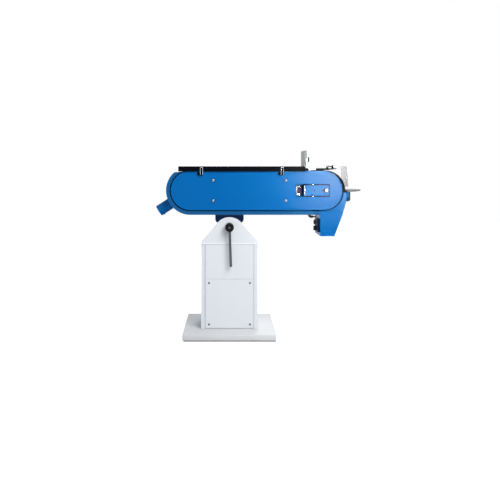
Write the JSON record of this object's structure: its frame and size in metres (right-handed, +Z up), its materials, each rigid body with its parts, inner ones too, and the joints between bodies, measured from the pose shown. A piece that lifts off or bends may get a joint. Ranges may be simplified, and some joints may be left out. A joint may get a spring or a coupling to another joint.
{
  "type": "belt grinder",
  "caption": "Pedestal belt grinder with a tilting arm, contact wheel, belt lid, stop, clear spark shield, work rest and spark chute.",
  "frame": {"origin": "middle of the underside of the stand's base", "axes": "+X towards the contact wheel, +Y away from the operator's side and towards the motor, +Z up"},
  "size_m": [1.0528, 0.5506, 0.938],
  "materials": {
    "base_pad": "matte",
    "base_plate": "satin",
    "column_wrap": "satin",
    "column_rear": "satin",
    "column_deck": "satin",
    "service_panel": "satin",
    "upper_panel": "satin",
    "panel_screw_1": "brushed",
    "panel_screw_2": "brushed",
    "panel_screw_3": "brushed",
    "panel_screw_4": "brushed",
    "pivot_shaft": "bright",
    "pivot_nut": "brushed",
    "clamp_hub": "matte",
    "clamp_rod": "brushed",
    "pivot_bracket": "satin",
    "housing_shell": "satin",
    "dust_port": "satin",
    "rear_plate": "satin",
    "side_cover": "satin",
    "cover_bolt_1": "bright",
    "cover_bolt_2": "bright",
    "cover_bolt_3": "bright",
    "cover_bolt_4": "bright",
    "abrasive_belt": "coated abrasive",
    "platen": "brushed",
    "motor_body": "as cast",
    "fan_cowl": "satin",
    "drive_drum": "as cast",
    "motor_rotor": "brushed",
    "contact_hub": "turned",
    "contact_tyre": "matte",
    "wheel_bearing": "bright",
    "tension_fork": "satin",
    "wheel_axle": "bright",
    "fork_guide": "brushed",
    "tension_spring": "brushed",
    "release_bracket": "brushed",
    "release_lever": "matte",
    "belt_lid": "satin",
    "lid_hinge_1": "satin",
    "lid_hinge_2": "satin",
    "latch_base_1": "satin",
    "latch_base_2": "satin",
    "latch_bail_1": "bright",
    "latch_bail_2": "bright",
    "stop_foot": "satin",
    "stop_bracket": "brushed",
    "stop_plate": "brushed",
    "stop_knob": "matte",
    "wheel_hood": "satin",
    "tie_bar": "brushed",
    "spark_shield": "clear polycarbonate",
    "work_rest": "brushed",
    "rest_bracket": "satin",
    "spark_chute": "satin",
    "switch_case": "matte",
    "stop_button": "matte",
    "switch_knob": "matte",
    "switch_cable": "matte"
  },
  "bodies": {
    "stand": {"base_pad": "base_pad", "base_plate": "base_plate", "column_wrap": "column_wrap", "column_rear": "column_rear", "column_deck": "column_deck", "service_panel": "service_panel", "upper_panel": "upper_panel", "panel_screw_1": "panel_screw_1", "panel_screw_2": "panel_screw_2", "panel_screw_3": "panel_screw_3", "panel_screw_4": "panel_screw_4", "pivot_shaft": "pivot_shaft", "pivot_nut": "pivot_nut"},
    "clamp_lever": {"clamp_hub": "clamp_hub", "clamp_rod": "clamp_rod"},
    "arm": {"pivot_bracket": "pivot_bracket", "housing_shell": "housing_shell", "dust_port": "dust_port", "rear_plate": "rear_plate", "side_cover": "side_cover", "cover_bolt_1": "cover_bolt_1", "cover_bolt_2": "cover_bolt_2", "cover_bolt_3": "cover_bolt_3", "cover_bolt_4": "cover_bolt_4", "abrasive_belt": "abrasive_belt", "platen": "platen", "motor_body": "motor_body", "fan_cowl": "fan_cowl", "fork_guide": "fork_guide", "tension_spring": "tension_spring", "release_bracket": "release_bracket", "lid_hinge_1": "lid_hinge_1", "lid_hinge_2": "lid_hinge_2", "latch_base_1": "latch_base_1", "latch_base_2": "latch_base_2", "stop_foot": "stop_foot", "stop_bracket": "stop_bracket", "wheel_hood": "wheel_hood", "tie_bar": "tie_bar", "rest_bracket": "rest_bracket", "spark_chute": "spark_chute", "switch_case": "switch_case", "switch_cable": "switch_cable"},
    "drive": {"drive_drum": "drive_drum", "motor_rotor": "motor_rotor"},
    "fork": {"tension_fork": "tension_fork", "wheel_axle": "wheel_axle"},
    "contact_wheel": {"contact_hub": "contact_hub", "contact_tyre": "contact_tyre", "wheel_bearing": "wheel_bearing"},
    "release_lever": {"release_lever": "release_lever"},
    "lid": {"belt_lid": "belt_lid"},
    "latch_1": {"latch_bail_1": "latch_bail_1"},
    "latch_2": {"latch_bail_2": "latch_bail_2"},
    "stop_plate": {"stop_plate": "stop_plate"},
    "stop_knob": {"stop_knob": "stop_knob"},
    "shield": {"spark_shield": "spark_shield"},
    "work_rest": {"work_rest": "work_rest"},
    "stop_button": {"stop_button": "stop_button"},
    "switch_knob": {"switch_knob": "switch_knob"}
  },
  "joints": [
    {"name": "arm_tilt", "type": "hinge", "parent": "stand", "child": "arm", "pos_m": [0, 0, 0.551], "axis": [0, -1, 0], "range_deg": [-45, 45]},
    {"name": "clamp_turn", "type": "hinge", "parent": "stand", "child": "clamp_lever", "pos_m": [0, -0.1093, 0.551], "axis": [0, -1, 0], "range_deg": [-60, 60]},
    {"name": "drive_spin", "type": "hinge", "parent": "arm", "child": "drive", "pos_m": [-0.1945, 0, 0.734], "axis": [0, 1, 0], "continuous": true},
    {"name": "fork_slide", "type": "slide", "parent": "arm", "child": "fork", "axis": [-1, 0, 0], "range_m": [0, 0.015]},
    {"name": "wheel_spin", "type": "hinge", "parent": "fork", "child": "contact_wheel", "pos_m": [0.4904, 0, 0.734], "axis": [0, 1, 0], "continuous": true},
    {"name": "release_turn", "type": "hinge", "parent": "arm", "child": "release_lever", "pos_m": [0.3524, -0.076, 0.734], "axis": [0, 0, -1], "range_deg": [0, 90]},
    {"name": "lid_turn", "type": "hinge", "parent": "arm", "child": "lid", "pos_m": [0, 0.104, 0.85], "axis": [-1, 0, 0], "range_deg": [0, 100]},
    {"name": "latch_turn_1", "type": "hinge", "parent": "arm", "child": "latch_1", "pos_m": [-0.142, -0.1, 0.818], "axis": [1, 0, 0], "range_deg": [0, 150]},
    {"name": "latch_turn_2", "type": "hinge", "parent": "arm", "child": "latch_2", "pos_m": [0.268, -0.1, 0.818], "axis": [1, 0, 0], "range_deg": [0, 150]},
    {"name": "stop_slide", "type": "slide", "parent": "arm", "child": "stop_plate", "axis": [0, 0, 1], "range_m": [0, 0.025]},
    {"name": "stop_knob_turn", "type": "hinge", "parent": "arm", "child": "stop_knob", "pos_m": [0.3991, -0.068, 0.8918], "axis": [1, 0, 0], "range_deg": [-170, 170]},
    {"name": "shield_turn", "type": "hinge", "parent": "arm", "child": "shield", "pos_m": [0.5264, 0, 0.858], "axis": [0, -1, 0], "range_deg": [0, 75]},
    {"name": "rest_slide", "type": "slide", "parent": "arm", "child": "work_rest", "axis": [1, 0, 0], "range_m": [0, 0.015]},
    {"name": "button_press", "type": "slide", "parent": "arm", "child": "stop_button", "axis": [1, 0, 0], "range_m": [0, 0.0035], "stiffness_N_per_m": 300},
    {"name": "knob_turn", "type": "hinge", "parent": "arm", "child": "switch_knob", "pos_m": [0.4504, -0.025, 0.537], "axis": [-1, 0, 0], "range_deg": [0, 90]}
  ],
  "couplings": [
    {"joint": "wheel_spin", "follows": "drive_spin", "ratio": 1},
    {"joint": "release_turn", "follows": "fork_slide", "rad_per_m": 104.7}
  ]
}
